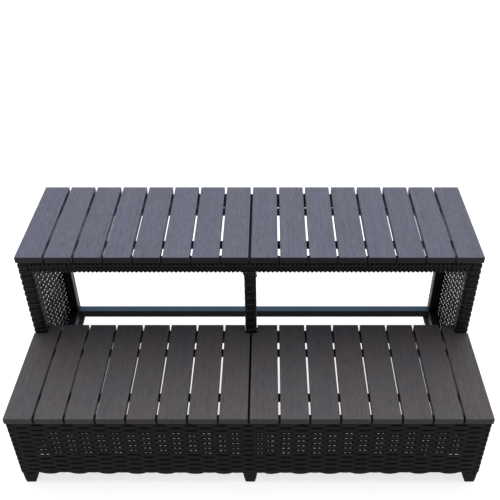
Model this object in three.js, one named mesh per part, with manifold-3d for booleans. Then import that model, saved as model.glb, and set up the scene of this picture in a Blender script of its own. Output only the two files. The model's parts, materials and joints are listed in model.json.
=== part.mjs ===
// Spa steps: two slatted treads on a welded square-tube frame, with woven strand on the front and
// both sides, and strand wound round the posts, the upper rails and the front legs.
//
// Millimetres. X runs across the steps, Y from the person climbing them towards the tub, Z up.
// Inside the group, Y starts at the front edge of the lower tread. The group is then moved so
// that the origin is on the floor, at the centre of the steps.

import * as THREE from "three";
import { mergeVertices } from "three/addons/utils/BufferGeometryUtils.js";
import Module from "manifold-3d";

const wasm = await Module();
wasm.setup();

// ---------------------------------------------------------------- driving dimensions

const WIDTH = 1160;
const LOWER_TREAD_HEIGHT = 248;
const UPPER_TREAD_HEIGHT = 500;

const SLATS_PER_TREAD = 16;
const LOWER_SLAT_GAP = 5.2;
const UPPER_SLAT_GAP = 6.4;
const SLAT_THICKNESS = 17;
const SLAT_LENGTH = 330;
const SLAT_EASED_EDGE = 1.2;
const TREAD_OVERLAP = 32; // the upper slats begin this far ahead of the lower slats' rear ends

const TUBE = 25;
const TUBE_WALL = 1.5;
const TUBE_CORNER = 2;
const SUPPORT_BAR = 16;
const SUPPORT_WALL = 1.2;
const SUPPORT_CORNER = 1.5;

const FRAME_INSET = 5; // from the slats' outer edges and front ends to the tubes' outer faces
const MID_POST_SETBACK = 302; // front face of the posts under the upper tread's front edge
const REAR_OVERHANG = 8.5; // from the rear posts' back faces to the upper slats' rear ends
const BOTTOM_RAIL_UNDERSIDE = 42;
const FRONT_RAIL_HEIGHT = 38; // of the two rails behind the front weave, which are not square
const LOWER_SUPPORT_SETBACKS = [90, 247]; // centre lines of the slim bars under the lower slats
const UPPER_SUPPORT_SETBACKS = [386, 540];

const WEAVE_THICKNESS = 3;
const WEAVE_UNDERSIDE = 41;
const WRAP = 3; // strand wound on the front posts and the upper front rail
const THIN_WRAP = 2.4; // strand on the backs of the rear posts and round the upper rear rail
const LEG_FLARE = 12; // how far a leg's winding stands out where it meets the weave
const LEG_FLARE_OUTSIDE = 3; // the same on its sides that lie under the weave

const FOOT_PLATE = 3.7;
const FOOT_SPIGOT_LENGTH = 14;

const CLEARANCE = 0.3; // between pieces that touch
const NOTCH_CLEARANCE = 1; // between a slat's notch and the strand on the post in it

// ---------------------------------------------------------------- positions worked out from them

const DEPTH = 2 * SLAT_LENGTH - TREAD_OVERLAP;
const UPPER_SLAT_FRONT = SLAT_LENGTH - TREAD_OVERLAP;

const HALF_TUBE = TUBE / 2;
const BORE = TUBE - 2 * TUBE_WALL;
const FRAME_OUTER_X = WIDTH / 2 - FRAME_INSET;
const SIDE_FRAME_X = FRAME_OUTER_X - HALF_TUBE;
const RAIL_END_X = FRAME_OUTER_X - TUBE - CLEARANCE;

const FRONT_LEG_Y = FRAME_INSET + HALF_TUBE;
const MID_POST_Y = MID_POST_SETBACK + HALF_TUBE;
const REAR_POST_Y = DEPTH - REAR_OVERHANG - HALF_TUBE;

const LEG_BOTTOM = FOOT_PLATE + CLEARANCE;
const LOWER_FRAME_TOP = LOWER_TREAD_HEIGHT - SLAT_THICKNESS - CLEARANCE;
const UPPER_FRAME_TOP = UPPER_TREAD_HEIGHT - SLAT_THICKNESS - CLEARANCE;
const BOTTOM_RAIL_Z = BOTTOM_RAIL_UNDERSIDE + HALF_TUBE;

const WEAVE_INNER_X = FRAME_OUTER_X + CLEARANCE;
const WEAVE_OUTER_X = WEAVE_INNER_X + WEAVE_THICKNESS;
const WEAVE_FRONT_Y = FRAME_INSET - CLEARANCE - WEAVE_THICKNESS;

// ---------------------------------------------------------------- materials

const material = (color, roughness, metalness) =>
  new THREE.MeshStandardMaterial({ color, roughness, metalness });

const UPPER_SLAT_MATERIAL = material(0x70737f, 0.6, 0);
const LOWER_SLAT_MATERIAL = material(0x58565a, 0.6, 0);
const STRAND_MATERIAL = material(0x232324, 0.5, 0);
const FRAME_MATERIAL = material(0x3a4250, 0.45, 0.6);
const FOOT_MATERIAL = material(0x17171a, 0.8, 0);

// ---------------------------------------------------------------- solids

// A closed three.js geometry as a manifold solid, ready to be joined or cut.
function solidOf(geometry) {
  const bare = geometry.clone();
  bare.deleteAttribute("normal");
  bare.deleteAttribute("uv");
  const merged = mergeVertices(bare, 1e-4);
  return new wasm.Manifold(
    new wasm.Mesh({
      numProp: 3,
      vertProperties: merged.attributes.position.array,
      triVerts: new Uint32Array(merged.index.array),
    }),
  );
}

function geometryOf(solid) {
  const mesh = solid.getMesh();
  const geometry = new THREE.BufferGeometry();
  geometry.setAttribute("position", new THREE.BufferAttribute(mesh.vertProperties, 3));
  geometry.setIndex(new THREE.BufferAttribute(mesh.triVerts, 1));
  geometry.computeVertexNormals();
  return geometry;
}

const join = (solids) => solids.reduce((whole, solid) => whole.add(solid));
const cut = (solid, tools) => tools.reduce((rest, tool) => rest.subtract(tool), solid);

// A block between two limits on each axis.
function block([x0, x1], [y0, y1], [z0, z1]) {
  const geometry = new THREE.BoxGeometry(x1 - x0, y1 - y0, z1 - z0);
  return geometry.translate((x0 + x1) / 2, (y0 + y1) / 2, (z0 + z1) / 2);
}

// A rectangle centred on the origin, with rounded corners when it has a corner radius.
function rectangle(width, height, corner = 0) {
  const w = width / 2;
  const h = height / 2;
  const outline = new THREE.Shape();
  outline.moveTo(-w + corner, -h);
  for (const [x, y, start] of [[w, -h, -90], [w, h, 0], [-w, h, 90], [-w, -h, 180]]) {
    if (corner === 0) {
      outline.lineTo(x, y);
      continue;
    }
    const centreX = x - Math.sign(x) * corner;
    const centreY = y - Math.sign(y) * corner;
    const from = THREE.MathUtils.degToRad(start);
    outline.absarc(centreX, centreY, corner, from, from + Math.PI / 2, false);
  }
  return outline;
}

// A straight bar of square section. along is the axis that it follows, at gives its centre line
// on the other two axes, and from and to are its ends. A bar that lies flat may be taller than
// it is wide.
function bar({ along, at, from, to, size, tall = size, corner = 0 }) {
  const options = { depth: to - from, bevelEnabled: false, curveSegments: 2 };
  const outline = along === "x" ? rectangle(tall, size, corner) : rectangle(size, tall, corner);
  const geometry = new THREE.ExtrudeGeometry(outline, options);
  if (along === "x") return geometry.rotateY(Math.PI / 2).translate(from, at[0], at[1]);
  if (along === "y") return geometry.rotateX(-Math.PI / 2).translate(at[0], from, at[1]);
  return geometry.translate(at[0], at[1], from);
}

// A frame welded from tubes: all the outsides joined, less all the bores. A run is a bar with a
// wall thickness, and the ends of its bore where they differ from its own. Bores meet inside the
// joints, as they do in a vented weldment.
function weldment(runs) {
  const bores = runs.map(({ size, tall = size, wall, boreFrom, boreTo, corner, ...run }) => {
    const { from, to } = run;
    const inside = { size: size - 2 * wall, tall: tall - 2 * wall };
    return solidOf(bar({ ...run, ...inside, from: boreFrom ?? from, to: boreTo ?? to }));
  });
  return geometryOf(cut(join(runs.map((run) => solidOf(bar(run)))), [join(bores)]));
}

const tubeRun = (run) => ({ size: TUBE, corner: TUBE_CORNER, wall: TUBE_WALL, ...run });

const supportRun = (run) => ({
  size: SUPPORT_BAR,
  corner: SUPPORT_CORNER,
  wall: SUPPORT_WALL,
  ...run,
});

const PAST = 1; // how far a bore or a cutter runs past an open end

const openEnded = (run) => ({ ...run, boreFrom: run.from - PAST, boreTo: run.to + PAST });

// ---------------------------------------------------------------- slats

// One plain slat: centred on X, its front end at Y 0 and its underside at Z 0.
function slatBody(width) {
  const h = width / 2;
  const t = SLAT_THICKNESS;
  const e = SLAT_EASED_EDGE;
  const section = new THREE.Shape();
  section.moveTo(-h, 0);
  section.lineTo(h, 0);
  section.lineTo(h, t - e);
  section.absarc(h - e, t - e, e, 0, Math.PI / 2, false);
  section.lineTo(-h + e, t);
  section.absarc(-h + e, t - e, e, Math.PI / 2, Math.PI, false);
  section.closePath();
  const options = { depth: SLAT_LENGTH, bevelEnabled: false, curveSegments: 2 };
  const body = new THREE.ExtrudeGeometry(section, options);
  return body.rotateX(Math.PI / 2).translate(0, SLAT_LENGTH, 0);
}

// The spaces that the three wrapped posts need in the rear ends of the lower slats. The corner
// posts take the whole corner off the outermost slats.
function postNotches() {
  const reach = HALF_TUBE + WRAP + NOTCH_CLEARANCE;
  const front = MID_POST_SETBACK - WRAP - NOTCH_CLEARANCE;
  const spans = [
    [-WIDTH / 2 - PAST, -SIDE_FRAME_X + reach],
    [-reach, reach],
    [SIDE_FRAME_X - reach, WIDTH / 2 + PAST],
  ];
  return spans.map((span) => ({ span, front }));
}

function slat(centreX, width, notches) {
  const left = centreX - width / 2;
  const right = centreX + width / 2;
  const cutters = notches
    .filter(({ span }) => span[0] < right && span[1] > left)
    .map(({ span, front }) =>
      solidOf(
        block(
          [span[0] - centreX, span[1] - centreX],
          [front, SLAT_LENGTH + PAST],
          [-PAST, SLAT_THICKNESS + PAST],
        ),
      ),
    );
  if (cutters.length === 0) return slatBody(width);
  return geometryOf(cut(solidOf(slatBody(width)), cutters));
}

function tread({ prefix, frontY, height, gap, slatMaterial, notches }) {
  const width = (WIDTH - (SLATS_PER_TREAD - 1) * gap) / SLATS_PER_TREAD;
  const group = new THREE.Group();
  group.position.set(0, frontY, height - SLAT_THICKNESS);
  for (let i = 0; i < SLATS_PER_TREAD; i++) {
    const centreX = (i - (SLATS_PER_TREAD - 1) / 2) * (width + gap);
    const mesh = new THREE.Mesh(slat(centreX, width, notches), slatMaterial);
    mesh.name = `${prefix}_slat_${String(i + 1).padStart(2, "0")}`;
    mesh.position.x = centreX;
    group.add(mesh);
  }
  return group;
}

// ---------------------------------------------------------------- frame

// One welded side: front leg, middle post and rear post, tied by a rail near the floor and a
// rail under each tread. It lies in the plane X 0.
function sideFrame() {
  const lowerRailZ = LOWER_FRAME_TOP - HALF_TUBE;
  const upperRailZ = UPPER_FRAME_TOP - HALF_TUBE;
  return weldment([
    tubeRun({
      along: "z",
      at: [0, FRONT_LEG_Y],
      from: LEG_BOTTOM,
      to: LOWER_FRAME_TOP,
      boreFrom: LEG_BOTTOM - PAST,
      boreTo: LOWER_FRAME_TOP - TUBE_WALL,
    }),
    tubeRun({
      along: "z",
      at: [0, MID_POST_Y],
      from: BOTTOM_RAIL_Z,
      to: UPPER_FRAME_TOP,
      boreTo: UPPER_FRAME_TOP - TUBE_WALL,
    }),
    tubeRun({
      along: "z",
      at: [0, REAR_POST_Y],
      from: LEG_BOTTOM,
      to: UPPER_FRAME_TOP,
      boreFrom: LEG_BOTTOM - PAST,
      boreTo: UPPER_FRAME_TOP - TUBE_WALL,
    }),
    tubeRun({ along: "y", at: [0, BOTTOM_RAIL_Z], from: FRONT_LEG_Y, to: REAR_POST_Y }),
    tubeRun({ along: "y", at: [0, lowerRailZ], from: FRONT_LEG_Y, to: MID_POST_Y }),
    tubeRun({ along: "y", at: [0, upperRailZ], from: MID_POST_Y, to: REAR_POST_Y }),
  ]);
}

// One welded tread frame: a front rail of the given height and a square rear rail, a bearer
// between their middles, and slim bars that hold the slats up between the rails.
function treadFrame(frontRailY, rearRailY, top, supportSetbacks, frontRailHeight) {
  const supportZ = top - SUPPORT_BAR / 2;
  const ends = { from: -RAIL_END_X, to: RAIL_END_X };
  const rails = [
    [frontRailY, frontRailHeight],
    [rearRailY, TUBE],
  ].map(([y, tall]) => openEnded(tubeRun({ along: "x", at: [y, top - tall / 2], ...ends, tall })));
  const supports = supportSetbacks.map((y) =>
    openEnded(supportRun({ along: "x", at: [y, supportZ], ...ends })),
  );
  const bearer = tubeRun({ along: "y", at: [0, top - HALF_TUBE], from: frontRailY, to: rearRailY });
  return weldment([...rails, bearer, ...supports]);
}

// The tall rail behind the foot of the front weave, with the centre front leg welded into it.
function frontFrame(legTop) {
  const tall = FRONT_RAIL_HEIGHT;
  const railZ = BOTTOM_RAIL_UNDERSIDE + tall / 2;
  return weldment([
    openEnded(tubeRun({ along: "x", at: [0, railZ], from: -RAIL_END_X, to: RAIL_END_X, tall })),
    openEnded(tubeRun({ along: "z", at: [0, 0], from: LEG_BOTTOM, to: legTop })),
  ]);
}

// A foot: a plate the size of the tube, with a spigot that plugs into the tube above it.
function footCap() {
  const spigotSize = BORE - 2 * CLEARANCE;
  const plate = bar({
    along: "z",
    at: [0, 0],
    from: 0,
    to: FOOT_PLATE,
    size: TUBE,
    corner: TUBE_CORNER,
  });
  const spigotTop = FOOT_PLATE + FOOT_SPIGOT_LENGTH;
  const spigot = bar({ along: "z", at: [0, 0], from: FOOT_PLATE / 2, to: spigotTop, size: spigotSize });
  return geometryOf(join([solidOf(plate), solidOf(spigot)]));
}

// ---------------------------------------------------------------- weave and windings

// The woven side panel, as seen from the side: low over the lower step, full height behind it.
// side is -1 for the left panel and 1 for the right one.
function sideWeave(side) {
  const front = FRAME_INSET;
  const stepUp = MID_POST_SETBACK - WRAP;
  const rear = REAR_POST_Y + HALF_TUBE + THIN_WRAP;
  const outline = new THREE.Shape();
  outline.moveTo(front, WEAVE_UNDERSIDE);
  outline.lineTo(rear, WEAVE_UNDERSIDE);
  outline.lineTo(rear, UPPER_FRAME_TOP);
  outline.lineTo(stepUp, UPPER_FRAME_TOP);
  outline.lineTo(stepUp, LOWER_FRAME_TOP);
  outline.lineTo(front, LOWER_FRAME_TOP);
  outline.closePath();
  const options = { depth: WEAVE_THICKNESS, bevelEnabled: false };
  const panel = new THREE.ExtrudeGeometry(outline, options);
  const innerX = side < 0 ? -WEAVE_OUTER_X : WEAVE_INNER_X;
  // The outline's two axes become Y and Z, and its depth becomes X.
  return panel.rotateX(Math.PI / 2).rotateZ(Math.PI / 2).translate(innerX, 0, 0);
}

function frontWeave() {
  return block(
    [-WEAVE_OUTER_X, WEAVE_OUTER_X],
    [WEAVE_FRONT_Y, WEAVE_FRONT_Y + WEAVE_THICKNESS],
    [WEAVE_UNDERSIDE, LOWER_FRAME_TOP],
  );
}

// A sleeve of strand all round an upright tube at the origin.
function postSleeve(from, to) {
  const inside = TUBE + 2 * CLEARANCE;
  const outer = bar({ along: "z", at: [0, 0], from, to, size: TUBE + 2 * WRAP, corner: TUBE_CORNER });
  const inner = bar({ along: "z", at: [0, 0], from: from - PAST, to: to + PAST, size: inside });
  return solidOf(outer).subtract(solidOf(inner));
}

// The same for a middle post, where the side weave covers the outer face instead.
function midPostSleeve(side, from, to) {
  const outerFace = side * HALF_TUBE;
  const clear = side * (TUBE + PAST);
  const span = [outerFace, clear].sort((a, b) => a - b);
  const outerPart = solidOf(block(span, [-TUBE, TUBE], [from - PAST, to + PAST]));
  return geometryOf(postSleeve(from, to).subtract(outerPart));
}

// The ends of the side weave's strands, turned in across the back of a rear post, with the
// winding on the leg below. The ends run down into the winding.
function rearPostWrap(winding) {
  const back = [HALF_TUBE + CLEARANCE, HALF_TUBE + THIN_WRAP];
  const height = [WEAVE_UNDERSIDE - THIN_WRAP, UPPER_FRAME_TOP];
  return join([solidOf(block([-HALF_TUBE, HALF_TUBE], back, height)), winding]);
}

// Strand round the front, underside and back of an upper rail, with room for the bearer behind
// or ahead of it and for the post under it. The slats cover its top.
function railChannel(railY, thickness, bearerSide, hasPost) {
  const half = HALF_TUBE + CLEARANCE;
  const outerHalf = HALF_TUBE + thickness;
  const bottom = UPPER_FRAME_TOP - TUBE - CLEARANCE;
  const x = [-RAIL_END_X, RAIL_END_X];
  const pastX = [-RAIL_END_X - PAST, RAIL_END_X + PAST];
  const centre = [-half, half];
  const bearerY = [railY, railY + bearerSide * TUBE].sort((a, b) => a - b);
  const cutters = [
    block(pastX, [railY - half, railY + half], [bottom, UPPER_FRAME_TOP + PAST]),
    block(centre, bearerY, [bottom, UPPER_FRAME_TOP + PAST]),
  ];
  if (hasPost) {
    cutters.push(block(centre, [railY - half, railY + half], [bottom - TUBE, bottom + PAST]));
  }
  const channel = block(
    x,
    [railY - outerHalf, railY + outerHalf],
    [UPPER_FRAME_TOP - TUBE - thickness, UPPER_FRAME_TOP],
  );
  return geometryOf(cut(solidOf(channel), cutters.map(solidOf)));
}

// The winding on a leg below the weave. It tapers to the tube at the foot. left, right, front
// and back are how far it stands out on each side where it meets the weave.
function legWinding({ left, right, front, back }) {
  const bottom = LEG_BOTTOM + PAST;
  const top = WEAVE_UNDERSIDE - CLEARANCE;
  const thin = 1;
  const geometry = block(
    [-HALF_TUBE - thin, HALF_TUBE + thin],
    [-HALF_TUBE - thin, HALF_TUBE + thin],
    [bottom, top],
  );
  const position = geometry.attributes.position;
  for (let i = 0; i < position.count; i++) {
    if (position.getZ(i) < top) continue;
    const x = position.getX(i) < 0 ? -HALF_TUBE - left : HALF_TUBE + right;
    const y = position.getY(i) < 0 ? -HALF_TUBE - front : HALF_TUBE + back;
    position.setXYZ(i, x, y, top);
  }
  const hole = bar({
    along: "z",
    at: [0, 0],
    from: bottom - PAST,
    to: top + PAST,
    size: TUBE + 2 * CLEARANCE,
  });
  return solidOf(geometry).subtract(solidOf(hole));
}

// ---------------------------------------------------------------- assembly

const steps = new THREE.Group();

function place(name, geometry, pieceMaterial, [x, y, z] = [0, 0, 0]) {
  const mesh = new THREE.Mesh(geometry, pieceMaterial);
  mesh.name = name;
  mesh.position.set(x, y, z);
  steps.add(mesh);
}

const lowerTread = tread({
  prefix: "lower",
  frontY: 0,
  height: LOWER_TREAD_HEIGHT,
  gap: LOWER_SLAT_GAP,
  slatMaterial: LOWER_SLAT_MATERIAL,
  notches: postNotches(),
});
const upperTread = tread({
  prefix: "upper",
  frontY: UPPER_SLAT_FRONT,
  height: UPPER_TREAD_HEIGHT,
  gap: UPPER_SLAT_GAP,
  slatMaterial: UPPER_SLAT_MATERIAL,
  notches: [],
});
steps.add(lowerTread, upperTread);

const lowerFrame = treadFrame(
  FRONT_LEG_Y,
  MID_POST_Y,
  LOWER_FRAME_TOP,
  LOWER_SUPPORT_SETBACKS,
  FRONT_RAIL_HEIGHT,
);
const upperFrame = treadFrame(
  MID_POST_Y,
  REAR_POST_Y,
  UPPER_FRAME_TOP,
  UPPER_SUPPORT_SETBACKS,
  TUBE,
);
place("lower_tread_frame", lowerFrame, FRAME_MATERIAL);
place("upper_tread_frame", upperFrame, FRAME_MATERIAL);

const underLowerRails = LOWER_FRAME_TOP - TUBE - CLEARANCE;
const underUpperRails = UPPER_FRAME_TOP - TUBE - CLEARANCE;
const centreTubes = {
  centre_rear_leg: { y: MID_POST_Y, from: LEG_BOTTOM, to: underLowerRails },
  centre_post: { y: MID_POST_Y, from: LOWER_FRAME_TOP + CLEARANCE, to: underUpperRails },
};
for (const [name, { y, from, to }] of Object.entries(centreTubes)) {
  const tube = weldment([openEnded(tubeRun({ along: "z", at: [0, 0], from, to }))]);
  place(name, tube, FRAME_MATERIAL, [0, y, 0]);
}
const backRun = tubeRun({ along: "x", at: [0, 0], from: -RAIL_END_X, to: RAIL_END_X });
const backRail = weldment([openEnded(backRun)]);
place("back_bottom_rail", backRail, FRAME_MATERIAL, [0, REAR_POST_Y, BOTTOM_RAIL_Z]);
const frontLegTop = LOWER_FRAME_TOP - FRONT_RAIL_HEIGHT - CLEARANCE;
place("front_frame", frontFrame(frontLegTop), FRAME_MATERIAL, [0, FRONT_LEG_Y, 0]);

const wrapTop = underUpperRails - WRAP - CLEARANCE;
const centreSleeve = postSleeve(LOWER_FRAME_TOP + 2 * CLEARANCE, wrapTop);
place("centre_post_wrap", geometryOf(centreSleeve), STRAND_MATERIAL, [0, MID_POST_Y, 0]);
place("upper_front_rail_wrap", railChannel(MID_POST_Y, WRAP, 1, true), STRAND_MATERIAL);
place("upper_rear_rail_wrap", railChannel(REAR_POST_Y, THIN_WRAP, -1, false), STRAND_MATERIAL);
place("front_weave", frontWeave(), STRAND_MATERIAL);

const frontLeg = { front: LEG_FLARE_OUTSIDE, back: LEG_FLARE / 2 };
const rearLeg = { front: LEG_FLARE / 2, back: LEG_FLARE_OUTSIDE };
const centreWinding = legWinding({ left: LEG_FLARE / 2, right: LEG_FLARE / 2, ...frontLeg });
place("centre_front_leg_wrap", geometryOf(centreWinding), STRAND_MATERIAL, [0, FRONT_LEG_Y, 0]);

for (const [name, side] of [["left", -1], ["right", 1]]) {
  const x = side * SIDE_FRAME_X;
  place(`${name}_side_frame`, sideFrame(), FRAME_MATERIAL, [x, 0, 0]);
  place(`${name}_side_weave`, sideWeave(side), STRAND_MATERIAL);
  const midSleeve = midPostSleeve(side, LOWER_FRAME_TOP + 2 * CLEARANCE, wrapTop);
  place(`${name}_post_wrap`, midSleeve, STRAND_MATERIAL, [x, MID_POST_Y, 0]);
  const [left, right] =
    side < 0 ? [LEG_FLARE_OUTSIDE, LEG_FLARE] : [LEG_FLARE, LEG_FLARE_OUTSIDE];
  const frontWinding = geometryOf(legWinding({ left, right, ...frontLeg }));
  const rearWrap = geometryOf(rearPostWrap(legWinding({ left, right, ...rearLeg })));
  place(`${name}_front_leg_wrap`, frontWinding, STRAND_MATERIAL, [x, FRONT_LEG_Y, 0]);
  place(`${name}_rear_post_wrap`, rearWrap, STRAND_MATERIAL, [x, REAR_POST_Y, 0]);
}

const feet = {
  left_front: [-SIDE_FRAME_X, FRONT_LEG_Y],
  centre_front: [0, FRONT_LEG_Y],
  right_front: [SIDE_FRAME_X, FRONT_LEG_Y],
  centre_rear: [0, MID_POST_Y],
  left_rear: [-SIDE_FRAME_X, REAR_POST_Y],
  right_rear: [SIDE_FRAME_X, REAR_POST_Y],
};
for (const [name, [x, y]] of Object.entries(feet)) {
  place(`${name}_foot_cap`, footCap(), FOOT_MATERIAL, [x, y, 0]);
}

steps.position.y = -DEPTH / 2;
steps.name = "spa_steps";

export default steps;
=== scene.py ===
"""Spa steps: camera, light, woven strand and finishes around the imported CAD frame.

Blender 4.5. Metres, +Z up, with the origin on the floor at the centre of the steps. The slats,
tubes and foot caps are the CAD nodes with better materials. The weave and the windings are
modelled strand by strand, and each stands for the plain CAD solid in its place.
"""

import json
import math
import random

import bpy
import numpy as np
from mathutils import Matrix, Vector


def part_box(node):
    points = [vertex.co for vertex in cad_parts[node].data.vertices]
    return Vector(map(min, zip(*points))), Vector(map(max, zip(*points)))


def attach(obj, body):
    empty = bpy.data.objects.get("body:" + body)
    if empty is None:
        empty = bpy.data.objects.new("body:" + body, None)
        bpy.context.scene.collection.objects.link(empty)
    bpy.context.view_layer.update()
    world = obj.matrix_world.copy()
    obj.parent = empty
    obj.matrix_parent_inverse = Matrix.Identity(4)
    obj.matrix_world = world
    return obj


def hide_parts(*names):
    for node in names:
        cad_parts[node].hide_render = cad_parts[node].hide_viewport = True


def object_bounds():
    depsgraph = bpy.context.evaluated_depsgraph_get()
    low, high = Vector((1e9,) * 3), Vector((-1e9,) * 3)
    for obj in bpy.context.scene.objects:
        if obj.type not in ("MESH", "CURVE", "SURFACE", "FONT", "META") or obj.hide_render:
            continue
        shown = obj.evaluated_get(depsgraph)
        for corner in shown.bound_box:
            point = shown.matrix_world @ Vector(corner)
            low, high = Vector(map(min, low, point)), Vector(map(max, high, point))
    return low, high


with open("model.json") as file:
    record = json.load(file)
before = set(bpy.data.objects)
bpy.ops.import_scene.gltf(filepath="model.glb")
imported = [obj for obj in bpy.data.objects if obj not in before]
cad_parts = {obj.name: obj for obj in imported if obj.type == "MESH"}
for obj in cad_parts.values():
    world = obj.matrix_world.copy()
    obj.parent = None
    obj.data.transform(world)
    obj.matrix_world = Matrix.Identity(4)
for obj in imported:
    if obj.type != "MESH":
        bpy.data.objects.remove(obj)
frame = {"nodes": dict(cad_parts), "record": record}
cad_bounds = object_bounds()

MM = 0.001
UP = np.array([0.0, 0.0, 1.0])

# ---------------------------------------------------------------- driving values

ROW_PITCH = 9.0 * MM        # from one woven row to the next
STRAND_WIDTH = 11.1 * MM
LOWER_STRAND_WIDTH = 11.8 * MM  # of the strand under the lower tread, which leaves smaller gaps
STRAND_THICKNESS = 1.5 * MM
SECTION_SIDES = 12
STAKE_WIDTH = 6.5 * MM
STAKE_THICKNESS = 0.6 * MM
WEAVE_OFFSET = 2.6 * MM     # from the tubes' outer faces to the middle of the weave
WEAVE_SWING = 1.45 * MM     # how far a strand swings out and in as it passes the stakes
WEAVE_SAG = 0.4 * MM        # how far it drops where it passes in front
TIGHT_SAG = 1.5 * MM        # the same for the rows that are beaten down tight
BORDER_SAG = 3 * MM         # the same for the lowest row
BORDER_WIDTH = 10 * MM      # of the two lowest rows
HELD_SWING = 1.2 * MM       # how far every second row stands out where it goes round a corner
HELD_REACH = 18 * MM        # how far from a corner that begins
CORNER_CALM = 26 * MM       # how far from a corner the strands begin to swing
POST_CALM = 66 * MM         # the same behind a middle post
PLAN_RADIUS = 5.5 * MM      # of a strand's path round a square tube
SAMPLE_STEP = 4 * MM        # between the points along a straight strand, at the most
ARC_SAMPLES = 5             # points on a round corner
CALM_SHARE = 0.4            # of a calm stretch, in which a strand doesn't swing at all
FLAT_TOP_POWER = 0.6        # under 1 it flattens the tops of a strand's waves
UNEVEN_RISE = 0.08 * MM     # how far a row wanders up and down, and over what length
UNEVEN_LENGTH = 370 * MM
REAR_END_GAP = 1 * MM       # from a rear post's inner edge to the ends of its rows
POST_END_GAP = 2 * MM       # from a middle post's back edge to the ends of its rows
WEAVE_SEED = 11

# The first upright stakes stand these distances from the centre leg. After them the stakes
# stand in twos, with a wide space and a narrow one by turns, and round the corner at one pitch.
STAKES_BEFORE_CORNER = 16
STAKE_TOP_GAP = 0.5 * MM
ROWS_PER_STAKE_SPAN = 3     # a stake has one point for each so many rows
LEFT_STAKES = {
    "first": 34 * MM,
    "second": 64 * MM,
    "wide": 38.7 * MM,
    "narrow": 34.8 * MM,
    "side": 36.4 * MM,
}
RIGHT_STAKES = {
    "first": 26 * MM,
    "second": 50.5 * MM,
    "wide": 39.8 * MM,
    "narrow": 35.7 * MM,
    "side": 35.8 * MM,
}

# The lowest rows are beaten down tight on each other, and the rows sag towards the middle. Row 0
# is the second from the bottom, and row 20 is the last one under the lower tread. The heights
# are of the rows' middles above the weave's underside, at the centre leg and at the corners.
LAST_LOWER_ROW = 20
LAST_TIGHT_ROW = 7
KEY_ROWS = (-1, 0, 1, LAST_LOWER_ROW)
CENTRE_HEIGHTS = (4.5 * MM, 7.5 * MM, 10.5 * MM, 183.7 * MM)
CORNER_HEIGHTS = (6 * MM, 10.5 * MM, 18 * MM, 185.3 * MM)
CORNER_RISE_POWER = 1.5     # over 1 it keeps most of the rise near the corner

# A winding goes round a square whose corners are well rounded. The centre post's thickens near
# both ends: by so much, beginning so far from the end, and growing over such a length.
TURN_SAMPLES = 32
SQUARENESS = 0.4
WINDING_PITCH = 11 * MM
WINDING_WIDTH = 12.4 * MM
WINDING_THICKNESS = 1.6 * MM
WINDING_RIDE = 1.0 * MM     # every second turn stands out by this much, and the others in
TOP_SWELL = (2.2 * MM, 24 * MM, 18 * MM)
BOTTOM_SWELL = (1.6 * MM, 14 * MM, 8 * MM)

CROSS_WIDTH = 7 * MM        # of the winding's end, brought across the post's front
CROSS_RIDE = 3.6 * MM       # how far out of the post's winding it lies
CROSS_TURN_DEG = (-189, 18)
CROSS_DROP = (5 * MM, 16 * MM)  # from the winding's top, where that end starts and stops
CROSS_SAMPLES = 30

LEG_WINDING_PITCH = 7.2 * MM
LEG_WINDING_WIDTH = 9 * MM
LEG_WINDING_RIDE = 1.2 * MM  # how far out of the leg its lowest turn lies
LEG_FLARE_POWER = 0.8       # under 1 it puts most of the flare near the foot

RAIL_WINDING_PITCH = 5.5 * MM
RAIL_WINDING_WIDTHS = (6.0 * MM, 5.0 * MM)  # of the turns that ride over, and of the others
RAIL_WINDING_RADIUS = 2.4 * MM
RAIL_RIDE = 1.1 * MM        # every second turn stands out by this much, and the others in
RAIL_WINDING_SLACK = 4.4 * MM  # how far the winding hangs clear of the rail's underside
RAIL_WINDING_LEAN = 0.35    # how far a turn leans to each side, as a share of the pitch
RAIL_TOP_GAP = 0.2 * MM

BINDER_WIDTH = 7.5 * MM     # of the strand that runs along the front rail over its winding
BINDER_DROP = 11.5 * MM     # from the rail's top to the middle of that strand
BINDER_RIDE = 0.5 * MM      # out of the rail's wrap, and how far it beats in and out there
BINDER_BEAT = 0.35 * MM
BINDER_WANDER = 0.3 * MM    # up and down, and over what length
BINDER_WANDER_LENGTH = 210 * MM
BINDER_END_GAP = 1 * MM
BINDER_SAMPLES = 200

SUPPORT_BAR = 16 * MM       # the slim bars under the slats, and how far back they lie
SUPPORT_SETBACKS = {"lower": (90 * MM, 247 * MM), "upper": (386 * MM, 540 * MM)}

# A screw's button head, from its rim to the bottom of its socket: the radius, and the distance
# below the face that the head lies under.
SCREW_PROFILE_MM = [(4.2, 0.1), (4.2, 0.6), (3.5, 1.6), (2.4, 2.2), (1.6, 2.3), (1.5, 1.2)]
SCREW_SIDES = 12
SCREW_EDGE = 8 * MM         # from a rail's end to the middle of the last screw, at the least

CAMERA_LENS_MM = 52.5
CAMERA_SENSOR_MM = 36
CAMERA_DOWN_DEG = 38.4
CAMERA_FROM_FRONT_EDGE = (0.0478, -1.1372, 1.5766)  # from its middle, at floor level
CAMERA_SHIFT = (-0.0379, 0.054)

LIGHT_STRENGTH = 2.4
LIGHT_DISC_DEG = 75
LIGHT_TILT_DEG = (-20, 0, 0)
WORLD_COLOUR = (0.93, 0.96, 1.0, 1)
WORLD_STRENGTH = 0.34
FLOOR_HALF_SIZE = 14

# The boards' colours. The upper board's bluer, paler colour is partly painted sky light, and the
# lower's darker one partly painted shade under the upper tread. The end shades, darkest and palest,
# and the side shade are painted shade on the ends and the sides, against the top's. Warmth is how
# far patches of a board turn warm or cool.
BOARDS = {
    "upper_slat": {
        "colour": (0.107, 0.112, 0.162),
        "end_painted_shades": (0.045, 0.10),
        "side_painted_shade": 0.9,
        "warmth": 0.05,
    },
    "lower_slat": {
        "colour": (0.0695, 0.0625, 0.0695),
        "end_painted_shades": (0.16, 0.29),
        "side_painted_shade": 0.4,
        "warmth": 0.13,
    },
}


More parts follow.
